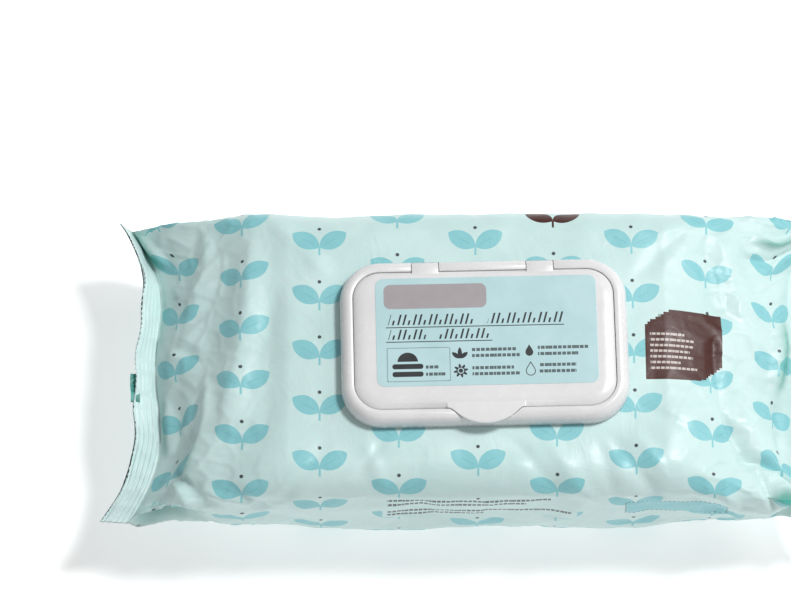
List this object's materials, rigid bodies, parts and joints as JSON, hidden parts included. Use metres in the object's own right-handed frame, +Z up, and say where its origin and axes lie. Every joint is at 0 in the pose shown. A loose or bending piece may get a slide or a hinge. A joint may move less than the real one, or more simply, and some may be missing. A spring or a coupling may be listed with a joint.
{
  "type": "wet wipes pack",
  "caption": "Sealed flow-wrap film pouch of folded wet wipes with ribbed end seals and a glued-on white flip-top lid that closes its dispensing slot.",
  "frame": {"origin": "on the ground under the middle of the pouch", "axes": "+X along the pouch, +Y towards the lid's hinge, +Z up"},
  "size_m": [0.24, 0.106, 0.0635],
  "materials": {
    "film": "soft satin printed film",
    "glue": "clouded hot-melt glue",
    "peel_film": "glossy peel-off film",
    "white_plastic": "moulded, satin gloss",
    "label": "satin printed label"
  },
  "bodies": {
    "pack": {"film_pack": "film", "adhesive_ring": "glue", "peel_seal": "peel_film", "lid_base": "white_plastic"},
    "flip_lid": {"lid": "white_plastic", "lid_label": "label"}
  },
  "joints": [
    {"name": "lid_hinge", "type": "hinge", "parent": "pack", "child": "flip_lid", "pos_m": [0.0025, 0.0276, 0.0625], "axis": [-1, 0, 0], "range_deg": [0, 180]}
  ]
}
